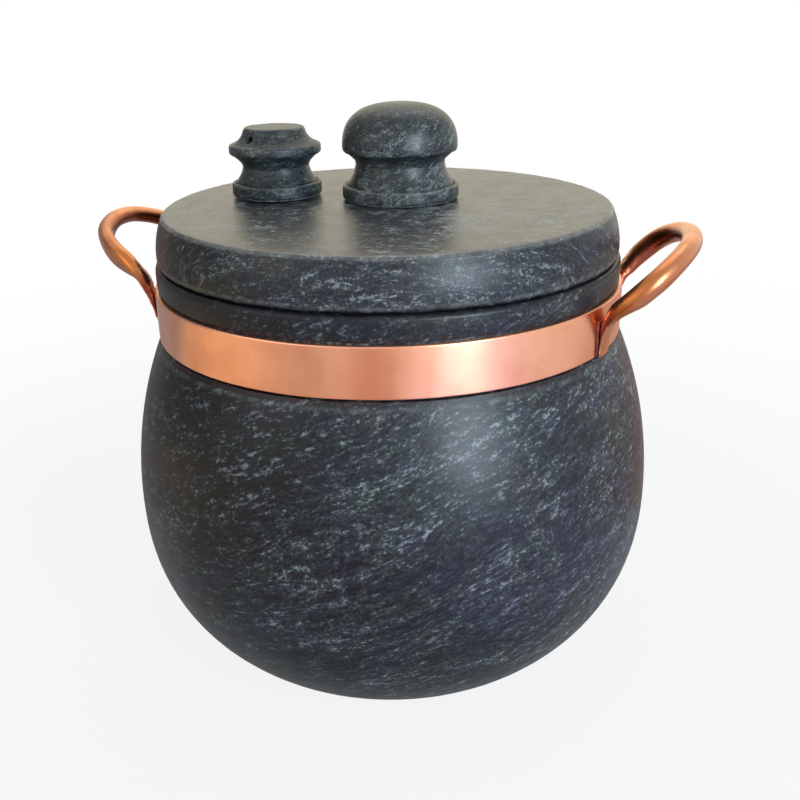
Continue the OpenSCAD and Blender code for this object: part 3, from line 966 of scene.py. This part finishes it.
def braze(name, middle, foot_angle, foot_z, tab_w):
    """Thin runs of braze along both edges of a handle's two flattened ends, coloured dark as painted
    shade.
    """
    runs = []
    for foot in (-foot_angle, foot_angle):
        for edge in (-1, 1):
            data = bpy.data.curves.new(name, "CURVE")
            data.dimensions = "3D"
            data.bevel_depth = BRAZE_R * MM
            data.bevel_resolution = 4
            data.use_fill_caps = True
            spline = data.splines.new("NURBS")
            points = [(foot_z, 1.0, 0.9), (foot_z + 3, 1.0, 1.0), (band_mid - 2, 1.0, 0.8),
                      (band_mid + 2, 0.95, 0.9), (band_mid + 5, 0.86, 0.5)]
            spline.points.add(len(points) - 1)
            for point, (z, share, thick) in zip(spline.points, points):
                around = math.radians(middle + foot) + edge * share * (tab_w / 2 + 0.2) / band_r
                out = (band_r + 0.15) * MM
                point.co = (out * math.cos(around), out * math.sin(around), z * MM, 1)
                point.radius = thick
            spline.use_endpoint_u = True
            run = bpy.data.objects.new(name, data)
            bpy.context.scene.collection.objects.link(run)
            pick(run)
            bpy.ops.object.convert(target="MESH")
            run = bpy.context.object
            runs.append(run)
    piece = join(name, *runs)
    pick(piece)
    bpy.ops.object.mode_set(mode="EDIT")
    bpy.ops.mesh.select_all(action="SELECT")
    bpy.ops.mesh.normals_make_consistent(inside=False)
    bpy.ops.object.mode_set(mode="OBJECT")
    modify(piece, "SUBSURF", levels=1, render_levels=1)
    dents(piece, 0.3, 1.5)
    smooth(piece, 60)
    place_piece(piece, "pot", "copper_tube", BRAZE_SHADED)


RIGHT_FOOT_ANGLE = 18.3
LEFT_FOOT_ANGLE = 20.3

handle("right_loop", RIGHT_FRONT, RIGHT_BACK, RIGHT_FOOT_ANGLE, 1, "right_handle")
handle("left_loop", LEFT_FRONT, LEFT_BACK, LEFT_FOOT_ANGLE, -1, "left_handle")
braze("right_braze", 0, RIGHT_FOOT_ANGLE, band_low + 0.8, 10.4)
braze("left_braze", 180, LEFT_FOOT_ANGLE, band_mid - 5.2, 9.0)


# Lid

LID_WIDE_Z = 4
LID_SIDE_CURVE_R = 35
LID_TOP_ROUND = 2.4
LID_LOW_ROUND = 1.8
SPIGOT_GAP = 0.8
STUD_R = 4
VENT_THREAD_R = 5
THROUGH_GAP = 0.3


def lid_side(z):
    return lid_r - (z - LID_WIDE_Z) ** 2 / (2 * LID_SIDE_CURVE_R)


def lid():
    lid_h = lid_top - rim_z
    spigot_r = MOUTH_R - SPIGOT_GAP
    edge = RIM_ROUND / 2
    top_r = lid_side(lid_h - LID_TOP_ROUND)
    low_r = lid_side(LID_LOW_ROUND)
    outline = [(0, lid_low - rim_z)]
    outline += line((0, lid_low - rim_z), (spigot_r - edge, lid_low - rim_z), 12)
    outline += arc((spigot_r - edge, lid_low - rim_z + edge), edge, -90, 0)[1:]
    outline += [(spigot_r, -1), (spigot_r, 0)]
    outline += arc((low_r - LID_LOW_ROUND, LID_LOW_ROUND), LID_LOW_ROUND, -90, 0)
    outline += [(lid_side(z), z) for z in
                [LID_LOW_ROUND + (lid_h - LID_TOP_ROUND - LID_LOW_ROUND) * i / 14
                 for i in range(1, 14)]]
    outline += arc((top_r - LID_TOP_ROUND, lid_h - LID_TOP_ROUND), LID_TOP_ROUND, 0, 90)
    outline += line((top_r - LID_TOP_ROUND, lid_h), (0, lid_h), 30)
    outline = [(r, z + rim_z) for r, z in outline]
    piece = turned("lid_stone", outline, sides=FINE)
    dents(piece, 0.14, 30)
    knock_edges(piece, [(top_r - 0.7, lid_top - 0.7), (low_r - 0.5, rim_z + 0.5),
                        (spigot_r, lid_low)], 3.5, 0.45, 4)
    below, above = lid_low - 1, lid_top + 1
    for at, radius in ((knob_at, STUD_R), (weight_at, VENT_THREAD_R)):
        cut(piece, rod("hole_drill", radius + THROUGH_GAP, (*at, below), (*at, above)))
    smooth(piece)
    # The pale rings at the top and lower edges are partly wear and partly painted highlight; the dark
    # ring is painted shade in the seam with the pot.
    edges = ((top_r - 0.7, lid_top - 0.7, 1.8, 0.45, WEAR_AND_HIGHLIGHT),
             (low_r - 0.9, rim_z, 2.2, 1.0, CREVICE_SHADE),
             (low_r + 0.2, rim_z + 2.4, 1.2, 0.4, WEAR_AND_HIGHLIGHT))
    side_stone = soapstone("lid_soapstone", (4, TURN, 30), (40, 13, 300), edges=edges,
                           density=0.02, contrast=1.05, spread=(1.6, 1.6, 1.25), gloss=0.23,
                           patches=LID_LEFT_SHADE)
    top_stone = soapstone("lid_top_soapstone", (4, TURN, 42), (40, 13, 300), edges=edges,
                          density=0.05, contrast=1.5, spread=(1.15, 1.15, 0.6), marks=0.5,
                          gloss=0.7, rough=(0.30, 0.46))
    place_piece(piece, "lid", "soapstone_lid", side_stone, "lid")
    piece.data.materials.append(top_stone)
    for face in piece.data.polygons:
        if face.normal.z > 0.6 and face.center.z > (lid_top - 3) * MM:
            face.material_index = 1


lid()


# Knob on the lid

STUD_DEPTH = 24


def turned_foot(foot_r, foot_h, bottom, inner_r):
    """An upright foot with a chamfered bottom edge, and a V cut where the waist starts."""
    edge = 1.1
    return [(foot_r - 1.6, bottom), (foot_r - 0.9, bottom + 0.15), (foot_r - 0.25, bottom + 1.0),
            (foot_r, bottom + 1.8), *arc((foot_r - edge, foot_h - edge), edge, 0, 80, 5),
            (inner_r + 0.6, foot_h + 0.05), (inner_r, foot_h - 0.6)]


def knob():
    foot_r = (high("lid_knob").x - low("lid_knob").x) / 2
    knob_h = high("lid_knob").z - lid_top
    foot_h, waist_r, cap_r, lip_z, lip_r = 6.8, 19.5, 25.3, 20.4, 1.5
    step = foot_r - waist_r
    waist_z = (foot_h + lip_z) / 2 + 2
    dome_z = lip_z + lip_r
    dome_full = 2.6
    outline = [(0, STUD_DEPTH), (STUD_R, STUD_DEPTH), (STUD_R, 0)]
    outline += turned_foot(foot_r, foot_h, 0, waist_r + 0.66 * step)
    outline += through([(waist_r + 0.60 * step, foot_h + 0.5),
                        (waist_r + 0.2 * step, (foot_h + waist_z) / 2),
                        (waist_r, waist_z)], 6)
    outline += [(waist_r + 0.25, waist_z + 0.35), (waist_r + 0.05, waist_z + 0.7)]
    outline += through([(waist_r + 0.10 * step, lip_z - 3.0), (cap_r - lip_r - 0.3, lip_z)], 6)
    outline += arc((cap_r - lip_r, dome_z), lip_r, -70, -10, 6)
    shares = [math.sin(math.pi / 2 * i / 30) for i in range(31)]
    outline += [(cap_r * (1 - share ** dome_full) ** (1 / dome_full),
                 dome_z + (knob_h - dome_z) * share) for share in shares]
    outline = [(r, z + lid_top) for r, z in outline]
    piece = turned("lid_knob_stone", outline, at=knob_at)
    dents(piece, 0.2, 14)
    knock_edges(piece, [(foot_r, lid_top + foot_h), (foot_r - 1, lid_top), (cap_r, lid_top + lip_z)],
                2.5, 0.4, 3, knob_at)
    smooth(piece)
    # Pale rings at the foot's edges are partly wear and partly painted highlight; dark rings are painted
    # shade in the V cut above the foot and under the cap's lip. The patches make the knob darker and
    # olive towards its top, and greener.
    stone = soapstone("knob_soapstone", (30, TURN + 40), (-70, 200, 40), at=knob_at, density=0.09,
                      contrast=0.85, spread=(1.9, 1.9, 1.6), marks=0.5, gloss=0.28, rough=(0.34, 0.46),
                      edges=((foot_r - 0.4, lid_top + foot_h - 0.4, 1.4, 0.4, WEAR_AND_HIGHLIGHT),
                             (waist_r + 0.64 * step, lid_top + foot_h, 0.9, 0.9, CREVICE_SHADE),
                             (foot_r - 0.8, lid_top + 0.4, 0.8, 1.0, SCUFF_AND_HIGHLIGHT),
                             (cap_r - 2.6, lid_top + lip_z - 0.6, 2.0, 0.8, CREVICE_SHADE)),
                      patches=(((*knob_at, lid_top + 28), 42, 0.4, OLIVE_DARKENING),
                               ((*knob_at, lid_top + 20), 120, 1.0, GREENISH)))
    place_piece(piece, "lid", "soapstone_knobs", stone, "lid_knob")


knob()


# Steam weight

STEAM_HOLE_R = 1.7
STEAM_HOLE_AZIMUTH = -114
STEAM_HOLE_SLOPE = 15


def weight():
    base = low("steam_weight").z - lid_top
    top = high("steam_weight").z - lid_top
    foot_r, foot_h, waist_r, collar_r, collar_z, top_r = 20.2, 7.0, 14.8, 20.5, 21.4, 13.3
    bore_r, bore_h, pocket_r, pocket_h = 4.5, 25.5, 9, 4
    step = foot_r - waist_r
    waist_z = (foot_h + collar_z) / 2 - 0.8
    collar_round = 1.4
    collar_low = collar_z - 2.6
    outline = [(0, bore_h), (bore_r, bore_h), (bore_r, pocket_h), (pocket_r, pocket_h),
               (pocket_r, base)]
    outline += turned_foot(foot_r, foot_h, base, waist_r + 0.62 * step)
    outline += through([(waist_r + 0.56 * step, foot_h + 0.3),
                        (waist_r + 0.18 * step, (foot_h + waist_z) / 2 + 0.4),
                        (waist_r, waist_z)], 6)
    outline += [(waist_r + 0.2, waist_z + 0.3), (waist_r + 0.03, waist_z + 0.6)]
    outline += through([(waist_r + 0.16 * step, collar_low - 3.2),
                        (collar_r - 2.9, collar_low - 1.3), (collar_r - 1.1, collar_low + 0.1)], 5)
    outline += arc((collar_r - collar_round, collar_low + collar_round), collar_round, -75, 0, 5)
    outline += arc((collar_r - collar_round, collar_z + 0.6), collar_round, 0, 65, 5)
    outline += through([(collar_r - 2.0, collar_z + 2.3), (top_r + 2.9, collar_z + 3.7),
                        (top_r + 1.2, collar_z + 5.8), (top_r + 0.4, top - 1)], 6)
    outline += [(top_r, top - 0.4), (top_r - 0.5, top), (top_r - 1.2, top), (0, top)]
    outline = [(r, z + lid_top) for r, z in outline]
    piece = turned("weight_stone", outline, at=weight_at)
    dents(piece, 0.15, 10)
    knock_edges(piece, [(foot_r, lid_top + foot_h), (foot_r - 1, lid_top + base),
                        (top_r, lid_top + top)], 2.5, 0.4, 3, weight_at)
    tip = Vector((*weight_at, lid_top + bore_h - 2 * STEAM_HOLE_R))
    slope, turn = math.radians(STEAM_HOLE_SLOPE), math.radians(STEAM_HOLE_AZIMUTH)
    along = Vector((math.cos(slope) * math.cos(turn), math.cos(slope) * math.sin(turn),
                    math.sin(slope)))
    cut(piece, rod("steam_hole_drill", STEAM_HOLE_R, tip, tip + along * (collar_r + 1), 32))
    cut(piece, rod("steam_hole_mouth", STEAM_HOLE_R - 0.3, tip + along * (top_r + 2),
                   tip + along * (top_r + 5.5), 32, STEAM_HOLE_R + 1.1))
    smooth(piece)
    # Pale rings at the foot's edges, the top and the collar are partly wear and partly painted
    # highlight; the dark ring is painted shade in the V cut above the foot.
    stone = soapstone("weight_soapstone", (10, -40), (15, -90, 500), at=weight_at, density=0.04,
                      contrast=0.75, spread=(1.7, 1.7, 1.4), marks=0.5, gloss=0.23, rough=(0.34, 0.46),
                      patches=(((*weight_at, lid_top + 15), 120, 1.0, GREENISH),),
                      edges=((foot_r - 0.4, lid_top + foot_h - 0.4, 1.2, 0.4, WEAR_AND_HIGHLIGHT),
                             (waist_r + 0.6 * step, lid_top + foot_h, 0.9, 0.9, CREVICE_SHADE),
                             (foot_r - 0.8, lid_top + base + 0.4, 0.8, 1.0, SCUFF_AND_HIGHLIGHT),
                             (top_r, lid_top + top, 1.4, 0.6, WEAR_AND_HIGHLIGHT),
                             (collar_r, lid_top + collar_z + 1, 1.8, 0.3, WEAR_AND_HIGHLIGHT)))
    place_piece(piece, "weight", "soapstone_knobs", stone, "steam_weight")


weight()


# Fittings under the lid

NUT_H = 6.4
NUT_WALL = 2.6
WASHER_T = 1.6
WASHER_REACH = 1.5
THREAD_SHOW = 2.5
CORNER_SHARE = 1 / math.cos(math.radians(30))


def cut_thread(piece, at, radius, pitch, bottom, top):
    """Moves a rod's points in along a helix, from its end up to where the nut hides it."""
    depth = 0.55 * pitch
    for vertex in piece.data.vertices:
        place = vertex.co / MM
        x, y = place.x - at[0], place.y - at[1]
        away = math.hypot(x, y)
        if away < radius * 0.8 or not bottom + 0.2 < place.z < top:
            continue
        turns = place.z / pitch - math.atan2(y, x) / (2 * math.pi)
        share = 1 - abs(2 * (turns % 1) - 1)
        scale = 1 - depth * share / away
        vertex.co.x = (at[0] + x * scale) * MM
        vertex.co.y = (at[1] + y * scale) * MM


def thread_outline(radius, bottom, top, core):
    """A rod's threaded end in fine rows, from the core's radius outwards and up."""
    rows = 48
    chamfer = radius / 5
    return [(core, bottom), (radius - chamfer, bottom),
            *line((radius - chamfer, bottom), (radius, bottom + chamfer), 4),
            *line((radius, bottom + chamfer), (radius, top), rows)]


def nut(name, at, thread_r, top, body, node):
    """A hexagon nut with both its faces chamfered round."""
    flat = thread_r + NUT_WALL
    corner = flat * CORNER_SHARE
    slope = (corner - flat) * 0.7
    deselect()
    bpy.ops.mesh.primitive_cylinder_add(
        vertices=6, radius=corner * MM, depth=NUT_H * MM,
        location=Vector((*at, top - NUT_H / 2)) * MM, rotation=(0, 0, math.radians(30)))
    piece = bpy.context.object
    piece.name = name
    settle(piece)
    bottom = top - NUT_H
    round_off = turned("nut_round", [(0, bottom), (flat - 0.1, bottom), (corner, bottom + slope),
                                     (corner, top - slope), (flat - 0.1, top), (0, top)],
                       at=at, sides=COARSE)
    cut(piece, round_off, "INTERSECT")
    cut(piece, rod("nut_bore", thread_r - 0.05, (*at, bottom - 1), (*at, top + 1)))
    modify(piece, "BEVEL", width=0.18 * MM, segments=2, limit_method="ANGLE",
           angle_limit=math.radians(24))
    smooth(piece, 30)
    place_piece(piece, body, "brass_fittings", BRASS, node)


def washer(name, at, thread_r, top, body, node):
    outside = (thread_r + NUT_WALL) * CORNER_SHARE + WASHER_REACH
    bottom = top - WASHER_T
    edge = 0.3
    outline = [(thread_r, bottom + 0.1), (thread_r + 0.15, bottom), (outside - edge, bottom),
               *arc((outside - edge, bottom + edge), edge, -90, 0, 4)[1:],
               *arc((outside - edge, top - edge), edge, 0, 90, 4),
               (thread_r, top), (thread_r, bottom + 0.1)]
    piece = turned(name, outline, at=at, sides=96)
    smooth(piece)
    place_piece(piece, body, "brass_fittings", BRASS, node)


def stud():
    bottom = low("knob_stud").z
    top = high("knob_stud").z
    thread_top = lid_low - WASHER_T
    outline = [(0, bottom), *thread_outline(STUD_R, bottom, thread_top, STUD_R / 2)]
    outline += [*line((STUD_R, thread_top), (STUD_R, top), 4), (0, top)]
    piece = turned("knob_stud_rod", outline, at=knob_at, sides=COARSE)
    cut_thread(piece, knob_at, STUD_R, 1.25, bottom, thread_top)
    smooth(piece, 50)
    place_piece(piece, "lid", "brass_fittings", BRASS, "knob_stud")


def vent():
    """Tube through the lid: threaded below, with a flange on the lid and a plain end above."""
    bottom = low("vent_tube").z
    top = high("vent_tube").z
    flange_r = (high("vent_tube").x - low("vent_tube").x) / 2
    flange_t, vent_r, bore_r = 3, 4, 2
    thread_top = lid_low - WASHER_T
    edge = vent_r / 5
    shoulder = lid_top + flange_t
    outline = [(bore_r, bottom + 0.3), *thread_outline(VENT_THREAD_R, bottom, thread_top, bore_r + 0.3)]
    outline += [(VENT_THREAD_R, lid_top), (flange_r - 0.3, lid_top), (flange_r, lid_top + 0.3),
                (flange_r, shoulder - edge), *arc((flange_r - edge, shoulder - edge), edge, 0, 90)[1:],
                (vent_r + 1.0, shoulder), *arc((vent_r + 0.8, shoulder + 0.8), 0.8, -90, -180, 5),
                *line((vent_r, shoulder + 0.8), (vent_r, top - edge), 6),
                *arc((vent_r - edge, top - edge), edge, 0, 90)[1:],
                (bore_r + 0.4, top), (bore_r, top - 0.4), (bore_r, bottom + 0.3)]
    piece = turned("vent_pipe", outline, at=weight_at, sides=COARSE)
    cut_thread(piece, weight_at, VENT_THREAD_R, 1.0, bottom, thread_top)
    smooth(piece, 50)
    place_piece(piece, "lid", "brass_fittings", BRASS, "vent_tube")


stud()
vent()
washer("knob_washer_ring", knob_at, STUD_R, lid_low, "lid", "knob_washer")
washer("vent_washer_ring", weight_at, VENT_THREAD_R, lid_low, "lid", "vent_washer")
nut("knob_nut_hex", knob_at, STUD_R, lid_low - WASHER_T, "lid", "knob_nut")
nut("vent_nut_hex", weight_at, VENT_THREAD_R, lid_low - WASHER_T, "lid", "vent_nut")

bpy.context.scene.view_settings.view_transform = "Standard"
